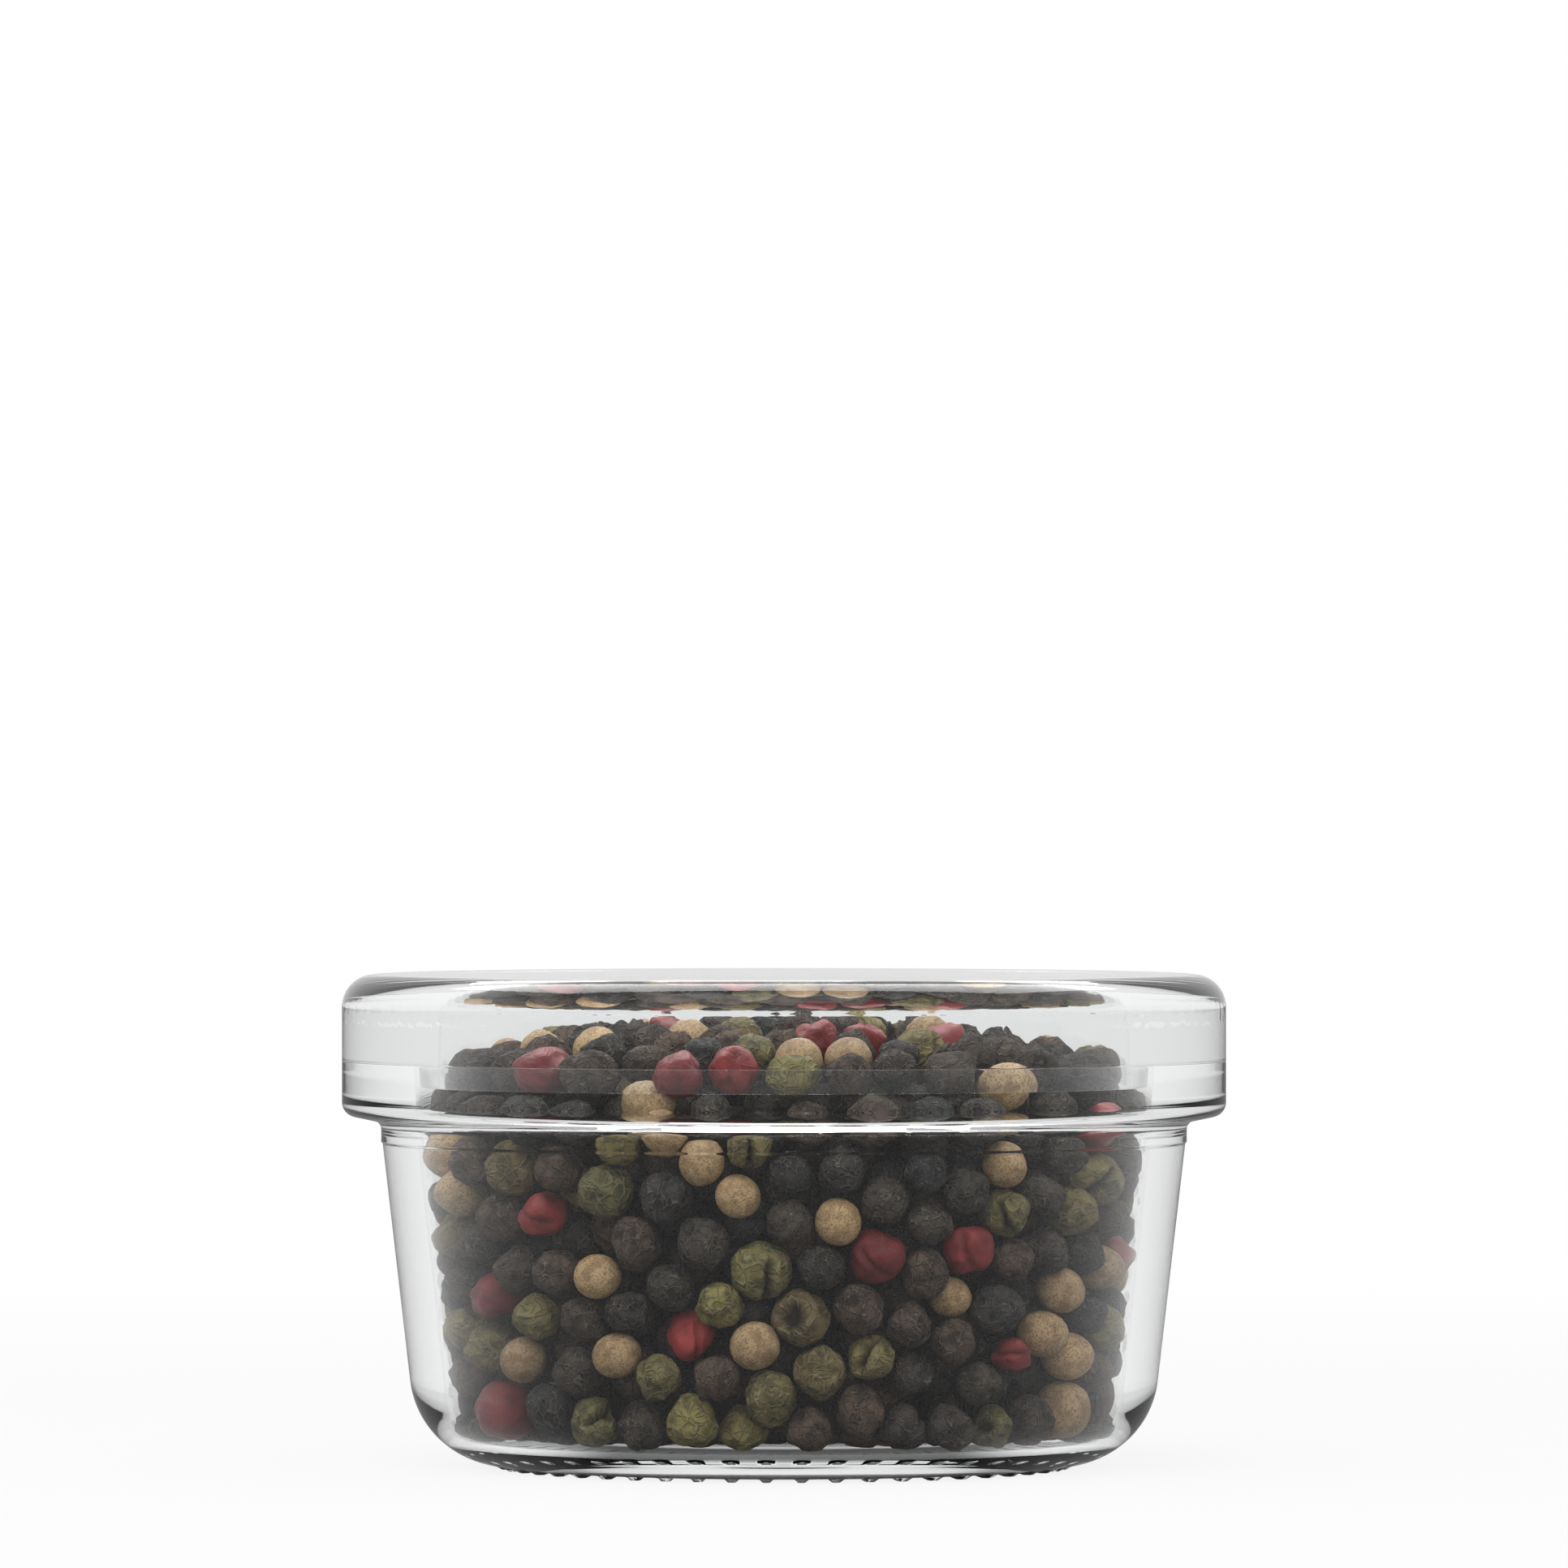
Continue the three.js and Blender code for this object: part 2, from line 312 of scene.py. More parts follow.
# Turns a profile into a closed glass, presses the bearing ridges and ripples the inside of a hollow.
def makeTurnedTree():
    tree, net, given = newTree("turnedGlass", {
        "Profile": "Geometry", "Columns": "Int", "Ridges": "Float", "Ridge Width": "Float",
        "Ridge Inner": "Float", "Ridge Outer": "Float", "Ridge Reach": "Float", "Ripple Depth": "Float",
        "Ripple Pitch": "Float", "Ripple Top": "Float", "Ripple Radius": "Float", "Material": "Material",
    })
    line = net.add("GeometryNodeMeshToCurve", None, {0: given.of("Profile")})
    hub = 0.05
    circle = {"Resolution": given.of("Columns"), "Radius": hub}
    ring = net.add("GeometryNodeCurvePrimitiveCircle", None, circle)
    ring = net.add("GeometryNodeSetCurveNormal", {"mode": "Z_UP"}, {0: ring})
    outwards = net.add("ShaderNodeCombineXYZ", None, {0: -hub})
    line = net.add("GeometryNodeTransform", None, {0: line, "Translation": outwards})
    skin = net.add("GeometryNodeCurveToMesh", None, {0: ring, 1: line})
    weld = 2e-6
    skin = net.add("GeometryNodeMergeByDistance", None, {0: skin, "Distance": weld})
    skin = net.add("GeometryNodeFlipFaces", None, {0: skin})

    place = net.add("GeometryNodeInputPosition")
    x, y, z, radius = net.fromAxis(place)
    turns = y.math("ARCTAN2", y, x) / (2 * math.pi) * given.of("Ridges")
    offBeat = turns.math("ABSOLUTE", turns.math("FRACT", turns) - 0.5)
    across = offBeat * radius * (2 * math.pi) / given.of("Ridges")
    half = given.of("Ridge Width") / 2
    foot, crest = 1.1, 0.55  # where a ridge's flank starts and ends, as shares of its half width
    innerRun, outerRun = 0.3 * mm, 0.4 * mm
    inner, outer = given.of("Ridge Inner"), given.of("Ridge Outer")
    ridge = net.step(across, half * foot, half * crest)
    ridge = ridge * net.step(radius, inner - innerRun, inner)
    ridge = ridge * net.step(radius, outer + outerRun, outer - outerRun)
    ridge = ridge * z.math("LESS_THAN", z, given.of("Ridge Reach"))
    down = net.add("ShaderNodeCombineXYZ", None, {2: z * ridge * -1.0})
    skin = net.add("GeometryNodeSetPosition", None, {0: skin, "Offset": down})

    waves = net.noise(place, 1.0 / given.of("Ripple Pitch"), 2.0, roughness=0.6)
    inside = z.math("LESS_THAN", z, given.of("Ripple Top"))
    inside = inside * radius.math("LESS_THAN", radius, given.of("Ripple Radius"))
    height = (waves - 0.5) * 2.0 * given.of("Ripple Depth") * inside
    normal = net.add("GeometryNodeInputNormal")
    swell = net.add("ShaderNodeVectorMath", {"operation": "SCALE"}, {0: normal, "Scale": height})
    skin = net.add("GeometryNodeSetPosition", None, {0: skin, "Offset": swell})
    skin = net.add("GeometryNodeSetShadeSmooth", None, {0: skin})
    skin = net.add("GeometryNodeRealizeInstances", None, {0: skin})
    skin = net.add("GeometryNodeSetMaterial", None, {0: skin, "Material": given.of("Material")})
    net.add("NodeGroupOutput", None, {0: skin})
    return tree


# Clear pressed glass: nearly colourless and faintly uneven. Shadow and diffuse rays pass straight
# through it, so that the lamps reach the corns
def makeGlass(name, look):
    material, net = newMaterial(name)
    place = net.add("ShaderNodeTexCoord", None, None, "Object")
    cloud = net.noise(place, look["waveScale"], 2.0)
    film = net.noise(place, look["filmScale"], 3.0)
    tint = net.blend(cloud, look["thinTint"], look["thickTint"])
    waves = net.add("ShaderNodeBump", None, {
        "Strength": look["waveStrength"], "Distance": look["waveDepth"], "Height": cloud,
    })
    if "rippleBand" in look:  # the plunger left ripples high up on the hollow's wall
        x, y, z, radius = net.fromAxis(place)
        inside = radius.math("LESS_THAN", radius, look["rippleRadius"]) * net.step(z, *look["rippleBand"])
        ripples = net.noise(place, look["rippleScale"], 1.0)
        waves = net.add("ShaderNodeBump", None, {
            "Strength": 1.0, "Distance": look["rippleDepth"], "Height": ripples * inside, "Normal": waves,
        })
    glass = net.add("ShaderNodeBsdfPrincipled", None, {
        "Base Color": tint, "Roughness": film * look["filmRoughness"], "Normal": waves,
        "IOR": look["ior"], "Transmission Weight": 1.0, "Specular Tint": look["specularTint"],
    })
    path = net.add("ShaderNodeLightPath", None, None, "Is Shadow Ray")
    clear = net.add("ShaderNodeBsdfTransparent", None, {"Color": look["shadowTint"]})
    past = path.math("MAXIMUM", path, path.of("Is Diffuse Ray"))
    mixed = net.add("ShaderNodeMixShader", None, {0: past, 1: glass, 2: clear})
    net.add("ShaderNodeOutputMaterial", None, {"Surface": mixed})
    return material


jarGlassLook = {
    "thinTint": (0.985, 0.990, 0.990, 1), "thickTint": (0.960, 0.970, 0.972, 1), "ior": 1.5,
    "waveScale": 70.0, "waveStrength": 0.05, "waveDepth": 0.0003, "filmScale": 900.0, "filmRoughness": 0.012,
    "specularTint": (0.4, 0.4, 0.4, 1), "shadowTint": (0.94, 0.95, 0.95, 1),
}
lidGlassLook = dict(
    jarGlassLook, waveStrength=0.06, rippleScale=800.0, rippleDepth=0.000018,
    rippleBand=(0.0438, 0.0448), rippleRadius=(lipInner + 0.1) * mm,
)
turnedTree = makeTurnedTree()
jarGlass = grow("jarGlass", profileMesh("jarProfile", jarLine), turnedTree, {
    "Columns": jar["columns"], "Ridges": float(jar["ridges"]), "Ridge Width": jar["ridgeWidth"] * mm,
    "Ridge Inner": (landRadius - jar["ridgeInward"]) * mm,
    "Ridge Outer": (landRadius + jar["ridgeOutward"]) * mm,
    "Ridge Reach": jar["ridgeReach"] * mm, "Ripple Depth": 0.0, "Ripple Pitch": 0.01,
    "Material": makeGlass("clearGlass", jarGlassLook),
})
lidGlass = grow("lidGlass", profileMesh("lidProfile", lidLine), turnedTree, {
    "Columns": lid["columns"], "Ridges": 1.0, "Ridge Width": 0.0, "Ridge Reach": 0.0,
    "Ripple Depth": lid["rippleDepth"] * mm, "Ripple Pitch": lid["ripplePitch"] * mm,
    "Ripple Top": (ceiling + lid["rippleAbove"]) * mm, "Ripple Radius": (lipInner - lid["rippleInset"]) * mm,
    "Material": makeGlass("lidGlass", lidGlassLook),
})
print("glass turned", len(jarGlass.data.polygons), len(lidGlass.data.polygons))


# Corns: count, sizes (mm) and shares of each kind, and how they settle
corns = {
    "count": 1230, "seed": 11, "steps": 520, "gap": 0.12, "push": 0.45,
    "hold": 0.3, "holdUntil": 0.9, "lastHold": 0.05,  # how firmly the leading corns keep their places
    "startRadius": 33.0, "startFloor": 3.0, "startTop": 42.0,
    "heapTop": 46.25, "heapFall": 4.6, "heapCurve": 2.2, "heapUneven": 0.7,
    "frontDepth": -6.0, "frontSkin": 7.0, "shownSkin": 4.6, "shownTop": 2.0, "shownFloor": 3.6,
    "ior": 1.5, "aimDepth": -30.0, "aimRounds": 4, "aimMargin": 0.1, "aimLimit": 0.97,
    "kinds": ("black", "white", "green", "pink"),
    "shares": (0.66, 0.13, 0.14, 0.07),
    "sizes": (5.2, 4.75, 5.5, 5.2),
    "spread": (0.45, 0.20, 0.35, 0.30), "swell": (1.03, 1.0, 1.03, 1.04),
    "girths": (0.93, 1.04), "tilt": 0.4,
}

# Corns that lead the eye at the front: pixel across and down in the photo's frame, size (mm) and,
# where one isn't whole, its form
picked = {
    "pink": [
        (678, 1305, 5.4), (825, 1308, 5.0), (895, 1300, 5.2, "split"), (678, 1490, 5.0, "split"),
        (617, 1585, 5.2), (865, 1655, 5.2, "split"), (632, 1725, 5.6), (1075, 1553, 5.6, "split"),
        (1190, 1535, 5.2, "split"), (1232, 1665, 4.4, "split"), (1385, 1545, 4.8), (1345, 1408, 4.8),
    ],
    "white": [
        (820, 1355, 5.0), (1235, 1345, 5.6), (625, 1275, 4.7), (740, 1275, 4.7), (968, 1288, 4.8),
        (1030, 1292, 4.7), (865, 1425, 4.8), (905, 1467, 4.7), (1033, 1517, 4.7), (745, 1575, 4.5),
        (770, 1660, 4.7), (653, 1667, 4.7), (925, 1670, 4.8), (1223, 1433, 4.5), (1347, 1547, 4.8),
        (1305, 1573, 4.7), (1278, 1640, 4.7), (1308, 1668, 4.7), (1300, 1730, 5.2), (575, 1470, 4.8),
        (560, 1425, 4.8), (820, 1395, 4.7), (1165, 1595, 4.2),
    ],
    "green": [
        (980, 1310, 5.2), (935, 1280, 5.0), (770, 1408, 4.8), (925, 1422, 5.0, "split"),
        (640, 1440, 5.6), (755, 1465, 6.0), (715, 1465, 5.0), (1228, 1495, 5.0, "split"),
        (1335, 1450, 5.4, "split"), (1320, 1495, 5.2), (885, 1600, 4.9), (935, 1565, 6.2, "split"),
        (985, 1625, 6.0, "hole"), (1065, 1660, 4.8, "split"), (1003, 1690, 5.4), (822, 1690, 5.0),
        (872, 1720, 5.4), (943, 1720, 5.4), (665, 1615, 5.2), (590, 1625, 5.0), (610, 1655, 5.2),
        (580, 1520, 5.2), (745, 1745, 5.0, "split"), (1215, 1755, 4.8, "hole"), (915, 1765, 5.0),
        (1350, 1630, 5.0),
    ],
}
leading = [(name, *row, "whole")[:5] for name, rows in picked.items() for row in rows]

# Those that lie behind others, and how far back (mm)
behind = {
    (625, 1275): 7.0, (740, 1275): 9.0, (935, 1280): 5.5, (968, 1288): 4.5, (1030, 1292): 5.0,
    (895, 1300): 1.5, (715, 1465): 2.5, (915, 1765): 1.5, (865, 1655): 0.6, (1165, 1595): 1.5,
}


# Where a corn against the glass lies, if the camera sees it at this pixel through the bent light.
def behindGlass(across, down, size, setBack):
    middle = shot["pixels"] / 2
    perPixel = shot["sensor"] / shot["lens"] / shot["pixels"]
    depth = corns["aimDepth"]
    margin = corns["aimMargin"]
    for attempt in range(corns["aimRounds"]):
        z = shot["height"] - (down - middle) * perPixel * (shot["distance"] + depth)
        inLid = z + size / 4 > lipFoot
        outer = jar["rimRadius"] if z > rimFoot else bodyRadius - (parting - z) * slope(jar["draft"])
        inner = lipInner - margin if inLid else innerRadius(z)
        reach = inner - size / 2 - corns["gap"] - margin - setBack
        offset = (across - middle) * perPixel * shot["distance"]
        furthest = reach * corns["aimLimit"]
        offset = max(-furthest, min(furthest, offset))
        angle = math.asin(offset / outer) - math.asin(offset / outer / corns["ior"])
        angle += math.asin(offset / inner / corns["ior"]) - math.asin(offset / inner)
        angle += math.asin(offset / reach)
        depth = -reach * math.cos(angle)
    return (reach * math.sin(angle), depth, z)


# Moves each corn back inside the glass: wall, floor, round corner, lip and the top of the heap.
def keepInside(place, half, top):
    gap = corns["gap"]
    x, y, z = place.T
    radius = np.maximum(np.hypot(x, y), 1e-6)
    lean = math.sqrt(1 + innerSlope ** 2)
    z = np.maximum(z, floorTop + half + gap)
    limit = floorRadius + (z - floorTop) * innerSlope - (half + gap) * lean
    newRadius = np.minimum(radius, limit)
    bendHeight = floorTop + jar["floorFillet"]
    bendRadius = floorRadius + jar["floorFillet"] * innerSlope - jar["floorFillet"] * lean
    right, below = newRadius - bendRadius, z - bendHeight
    far = np.hypot(right, below)
    room = jar["floorFillet"] - half - gap
    outside = (right > 0) & (below < 0) & (far > room)
    pull = np.where(outside, room / np.maximum(far, 1e-6), 1.0)
    newRadius = np.where(outside, bendRadius + right * pull, newRadius)
    z = np.where(outside, bendHeight + below * pull, z)
    lipSide = lipInner - gap - half - np.maximum(z - lipFoot, 0) * slope(lid["hollowDraft"])
    drop = z - (lipFoot - gap - half)
    shift = newRadius - lipSide
    caught = (drop > 0) & (shift > 0)
    sink = caught & (drop < shift)
    newRadius = np.where(caught & ~sink, lipSide, newRadius)
    z = np.where(sink, lipFoot - gap - half, z)
    z = np.minimum(z, top - half - corns["heapFall"] * (newRadius / lipInner) ** corns["heapCurve"])
    return np.column_stack((x * newRadius / radius, y * newRadius / radius, z))


# Draws kinds and sizes, then pushes overlapping corns apart until they lie in the jar.
def settleCorns():
    draw = np.random.default_rng(corns["seed"])
    rest = corns["count"] - len(leading)
    names = corns["kinds"]
    drawn = draw.choice(len(names), rest, p=corns["shares"])
    kind = np.array([names.index(c[0]) for c in leading] + list(drawn))
    vary = draw.normal(0, 0.6, len(kind)).clip(-2, 2)
    size = np.array(corns["sizes"])[kind] + np.array(corns["spread"])[kind] * vary
    size[: len(leading)] = [c[3] for c in leading]
    half = size / 2
    target = np.array([behindGlass(*c[1:4], behind.get(c[1:3], 0.0)) for c in leading])
    angle = draw.uniform(0, 2 * math.pi, rest)
    radius = corns["startRadius"] * np.sqrt(draw.uniform(0, 1, rest))
    height = draw.uniform(floorTop + corns["startFloor"], corns["startTop"], rest)
    place = np.column_stack((radius * np.cos(angle), radius * np.sin(angle), height))
    place = np.vstack((target, place))
    top = corns["heapTop"] - corns["heapUneven"] * draw.uniform(0, 1, len(kind)) ** 2
    top[: len(leading)] = corns["heapTop"]
    reach = half[:, None] + half[None, :]
    for step in range(corns["steps"]):
        square = (place ** 2).sum(1)
        apart = square[:, None] + square[None, :] - 2 * place @ place.T
        first, second = np.nonzero(np.triu(apart < reach ** 2, 1))
        line = place[first] - place[second]
        far = np.maximum(np.linalg.norm(line, axis=1), 1e-6)
        push = line * ((reach[first, second] - far) / far * corns["push"])[:, None]
        np.add.at(place, first, push)
        np.add.at(place, second, -push)
        held = step < corns["holdUntil"] * corns["steps"]
        hold = corns["hold"] if held else corns["lastHold"]
        place[: len(leading)] += hold * (target - place[: len(leading)])
        place = keepInside(place, half, top)
    return kind, size, place, draw


kind, size, place, draw = settleCorns()
wallRadius = np.where(place[:, 2] < lipFoot, innerRadius(place[:, 2]), lipInner)
wallGap = wallRadius - np.hypot(place[:, 0], place[:, 1]) - size / 2
follows = np.arange(len(kind)) >= len(leading)
front = follows & (place[:, 1] < corns["frontDepth"]) & (wallGap < corns["frontSkin"])
kind[front] = 0  # between the leading corns the front is black
between = np.linalg.norm(place[:, None] - place[None], axis=2) - (size[:, None] + size[None]) / 2
nearest = np.sort(between, axis=1)[:, 1]
print(f"corns settled, deepest overlap {-nearest.min():.2f} mm, mean gap {nearest.mean():.2f} mm")


# Where a corn is cut, in its own frame, whose radius is 0.5 (a step from none to full)
cuts = {
    "creaseWidth": 0.28, "lumpSink": 0.22, "holeEdge": (0.40, 0.47), "splitWobble": 0.12,
    "splitWidth": (0.09, 0.02), "splitTop": (0.12, 0.25), "splitEnd": (-0.42, -0.25),
}


# One tree for all corns: balls on points, with lumps, wrinkles, and holes or splits where a corn has them.
def makeCornTree():
    tree, net, given = newTree("cornShapes", {
        "Points": "Geometry", "Facets": "Int", "Lump Depth": "Float", "Lump Size": "Float",
        "Wrinkle Depth": "Float", "Wrinkle Size": "Float", "Hole Depth": "Float", "Split Depth": "Float",
        "Material": "Material",
    })

    def named(name, sort="FLOAT"):
        return net.add("GeometryNodeInputNamedAttribute", {"data_type": sort}, {"Name": name})

    def keep(shape, name, value, sort="FLOAT"):
        settings = {"data_type": sort, "domain": "POINT"}
        sockets = {0: shape, "Name": name, "Value": value}
        return net.add("GeometryNodeStoreNamedAttribute", settings, sockets)

    ball = net.add("GeometryNodeMeshIcoSphere", None, {"Radius": 0.5, "Subdivisions": given.of("Facets")})
    ball = keep(ball, "local", net.add("GeometryNodeInputPosition"), "FLOAT_VECTOR")
    shape = net.add("GeometryNodeInstanceOnPoints", None, {
        "Points": given.of("Points"), "Instance": ball, "Rotation": named("spin", "FLOAT_VECTOR"),
        "Scale": named("girth", "FLOAT_VECTOR"),
    })
    shape = net.add("GeometryNodeRealizeInstances", None, {0: shape})
    local = named("local", "FLOAT_VECTOR")
    own = net.ownPlace(local, named("seed"))
    lumps = net.noise(own, 1.0 / given.of("Lump Size"), 1.0) - 0.5
    creases = net.add("ShaderNodeTexVoronoi", {"feature": "DISTANCE_TO_EDGE"}, {
        "Vector": own, "Scale": 1.0 / given.of("Wrinkle Size"),
    })
    wrinkles = 1.0 - net.step(creases, 0.0, cuts["creaseWidth"])
    parts = net.add("ShaderNodeSeparateXYZ", None, {0: local})
    pole, side, along = parts.of("Z"), parts.of("X"), parts.of("Y")
    hole = net.step(pole, *cuts["holeEdge"]) * named("hole")
    crack = net.step(side.math("ABSOLUTE", side + lumps * cuts["splitWobble"]), *cuts["splitWidth"])
    crack = crack * net.step(pole, *cuts["splitTop"]) * net.step(along, *cuts["splitEnd"]) * named("split")
    relief = (lumps - cuts["lumpSink"]) * given.of("Lump Depth")
    relief = relief + (wrinkles - 1.0) * given.of("Wrinkle Depth")
    relief = relief.math("MINIMUM", relief, 0.0)  # everything sinks in from the round
    deep = hole * given.of("Hole Depth") + crack * given.of("Split Depth")
    normal = net.add("GeometryNodeInputNormal")
    move = net.add("ShaderNodeVectorMath", {"operation": "SCALE"}, {0: normal, "Scale": relief - deep})
    shape = keep(shape, "opened", hole.math("MAXIMUM", hole, crack))
    shape = net.add("GeometryNodeSetPosition", None, {0: shape, "Offset": move})
    shape = net.add("GeometryNodeSetShadeSmooth", None, {0: shape})
    shape = net.add("GeometryNodeSetMaterial", None, {0: shape, "Material": given.of("Material")})
    net.add("NodeGroupOutput", None, {0: shape})
    return tree


# What the four dry skins share
skinGrain = {"warpScale": 3.0, "foldSwirl": 0.5, "blotchEdge": (0.42, 0.66), "speckEdge": 0.08}


# Dry skins: a colour for each corn, pale or dark wrinkles, specks, and a dark inside where a corn is open.
def makeSkin(name, look):
    material, net = newMaterial(name)
    seed = net.attribute("seed").of("Fac")
    local = net.attribute("local").of("Vector")
    opened = net.attribute("opened").of("Fac")
    own = net.ownPlace(local, seed)
    warp = net.noise(own, skinGrain["warpScale"], 2.0).of("Color")
    bent = net.add("ShaderNodeVectorMath", {"operation": "MULTIPLY_ADD"}, {
        0: warp, 1: (look["warp"],) * 3, 2: own,
    })
    creases = net.add("ShaderNodeTexVoronoi", {"feature": "DISTANCE_TO_EDGE"}, {
        "Vector": bent, "Scale": 1.0 / look["wrinkleSize"],
    })
    swirl = net.noise(own, look["foldScale"], look["foldDetail"], distortion=skinGrain["foldSwirl"])
    folds = 1.0 - net.step(swirl.math("ABSOLUTE", swirl - 0.5), 0.0, look["foldWidth"])
    ridge = (1.0 - net.step(creases, 0.0, look["ridgeWidth"])) * look["creaseShare"]
    ridge = ridge.math("MAXIMUM", ridge, folds)
    blotch = net.noise(own, look["blotchScale"], 4.0)
    grain = net.noise(own, look["grainScale"], 3.0)
    body = net.ramp(seed, look["bodies"])
    shaded = net.blend(1.0, body, look["blotchTint"], "MULTIPLY")
    tone = net.blend(net.step(blotch, *skinGrain["blotchEdge"]), body, shaded)
    tone = net.blend(ridge * look["ridgeShare"], tone, look["ridgeColour"])
    specks = net.step(grain, look["speckFrom"], look["speckFrom"] + skinGrain["speckEdge"])
    tone = net.blend(specks * look["speckShare"], tone, look["speckColour"])
    tone = net.blend(opened * look["openShare"], tone, look["openColour"])
    height = ridge * look["ridgeHeight"] + grain * look["grainHeight"] + blotch * look["blotchHeight"]
    bump = net.add("ShaderNodeBump", None, {
        "Strength": look["bump"], "Distance": look["bumpDepth"] * mm, "Height": height,
    })
    skin = net.add("ShaderNodeBsdfPrincipled", None, {
        "Base Color": tone, "Roughness": look["roughness"] + grain * look["roughnessSpread"],
        "Normal": bump, "Specular IOR Level": look["specular"],
    })
    net.add("ShaderNodeOutputMaterial", None, {"Surface": skin})
    return material


blackSkin = {
    "bodies": [(0.0, (0.050, 0.048, 0.047)), (0.3, (0.104, 0.082, 0.066)), (0.55, (0.064, 0.065, 0.067)),
               (0.8, (0.165, 0.108, 0.077)), (1.0, (0.088, 0.073, 0.063))],
    "warp": 0.26, "wrinkleSize": 0.21, "ridgeWidth": 0.10, "creaseShare": 0.8, "foldScale": 2.6,
    "foldDetail": 0.8, "foldWidth": 0.025, "ridgeShare": 0.46,
    "ridgeColour": (0.320, 0.280, 0.230, 1), "blotchScale": 3.0, "blotchTint": (0.30, 0.30, 0.33, 1),
    "grainScale": 22.0, "speckFrom": 0.60, "speckShare": 0.30, "speckColour": (0.15, 0.13, 0.11, 1),
    "openShare": 0.0, "openColour": (0.01, 0.01, 0.01, 1), "ridgeHeight": 1.0, "grainHeight": 0.22,
    "blotchHeight": 0.5, "bump": 0.9, "bumpDepth": 0.5, "roughness": 0.6, "roughnessSpread": 0.3,
    "specular": 0.08,
}
whiteSkin = {
    "bodies": [(0.0, (0.72, 0.485, 0.255)), (0.35, (0.580, 0.405, 0.225)), (0.65, (0.650, 0.440, 0.235)),
               (0.85, (0.510, 0.355, 0.205)), (1.0, (0.770, 0.515, 0.265))],
    "warp": 0.10, "wrinkleSize": 0.34, "ridgeWidth": 0.10, "creaseShare": 0.3, "foldScale": 7.0,
    "foldDetail": 2.0, "foldWidth": 0.03, "ridgeShare": 0.20,
    "ridgeColour": (0.26, 0.165, 0.09, 1), "blotchScale": 3.4, "blotchTint": (0.62, 0.58, 0.54, 1),
    "grainScale": 25.0, "speckFrom": 0.52, "speckShare": 0.7, "speckColour": (0.19, 0.12, 0.062, 1),
    "openShare": 0.5, "openColour": (0.08, 0.05, 0.03, 1), "ridgeHeight": -0.15, "grainHeight": 0.5,
    "blotchHeight": 0.3, "bump": 0.6, "bumpDepth": 0.3, "roughness": 0.5, "roughnessSpread": 0.25,
    "specular": 0.2,
}
greenSkin = {
    "bodies": [(0.0, (0.260, 0.215, 0.084)), (0.3, (0.150, 0.140, 0.072)), (0.55, (0.310, 0.258, 0.092)),
               (0.8, (0.195, 0.142, 0.074)), (1.0, (0.345, 0.295, 0.100))],
    "warp": 0.30, "wrinkleSize": 0.30, "ridgeWidth": 0.11, "creaseShare": 0.7, "foldScale": 2.6,
    "foldDetail": 1.0, "foldWidth": 0.03, "ridgeShare": 0.5,
    "ridgeColour": (0.430, 0.375, 0.220, 1), "blotchScale": 3.2, "blotchTint": (0.34, 0.36, 0.36, 1),
    "grainScale": 20.0, "speckFrom": 0.62, "speckShare": 0.35, "speckColour": (0.035, 0.028, 0.015, 1),
    "openShare": 0.9, "openColour": (0.012, 0.010, 0.007, 1), "ridgeHeight": 0.8, "grainHeight": 0.25,
    "blotchHeight": 0.5, "bump": 0.8, "bumpDepth": 0.45, "roughness": 0.5, "roughnessSpread": 0.3,
    "specular": 0.1,
}
pinkSkin = {
    "bodies": [(0.0, (0.320, 0.040, 0.040)), (0.3, (0.210, 0.030, 0.032)), (0.6, (0.380, 0.050, 0.047)),
               (0.8, (0.240, 0.034, 0.036)), (1.0, (0.440, 0.060, 0.055))],
    "warp": 0.2, "wrinkleSize": 0.5, "ridgeWidth": 0.12, "creaseShare": 0.5, "foldScale": 3.0,
    "foldDetail": 1.0, "foldWidth": 0.03, "ridgeShare": 0.18,
    "ridgeColour": (0.26, 0.10, 0.09, 1), "blotchScale": 2.0, "blotchTint": (0.62, 0.55, 0.58, 1),
    "grainScale": 16.0, "speckFrom": 0.62, "speckShare": 0.2, "speckColour": (0.05, 0.015, 0.015, 1),
    "openShare": 0.3, "openColour": (0.025, 0.008, 0.008, 1), "ridgeHeight": 0.4, "grainHeight": 0.15,
    "blotchHeight": 0.6, "bump": 0.4, "bumpDepth": 0.3, "roughness": 0.32, "roughnessSpread": 0.25,
    "specular": 0.2,
}
skins = (blackSkin, whiteSkin, greenSkin, pinkSkin)

# Shapes: facets, depth (mm) and size (a corn's share) of lumps and wrinkles, depth (mm) of holes and splits
formNames = (
    "Facets", "Lump Depth", "Lump Size", "Wrinkle Depth", "Wrinkle Size", "Hole Depth", "Split Depth",
)
cornForms = {
    "black": (3, 1.3, 0.45, 0.20, 0.3, 1.1, 1.2),
    "white": (3, 0.35, 0.6, 0.0, 0.5, 1.1, 1.2),
    "green": (4, 1.1, 0.5, 0.16, 0.3, 1.1, 1.2),
    "pink": (4, 1.6, 0.6, 0.12, 0.5, 1.1, 0.4),
    "inner": (2, 0.8, 0.5, 0.0, 0.5, 1.1, 1.2),
}
openShare = {"black": 0.0, "white": 0.12, "green": 0.45, "pink": 0.5}  # of the corns that aren't leading


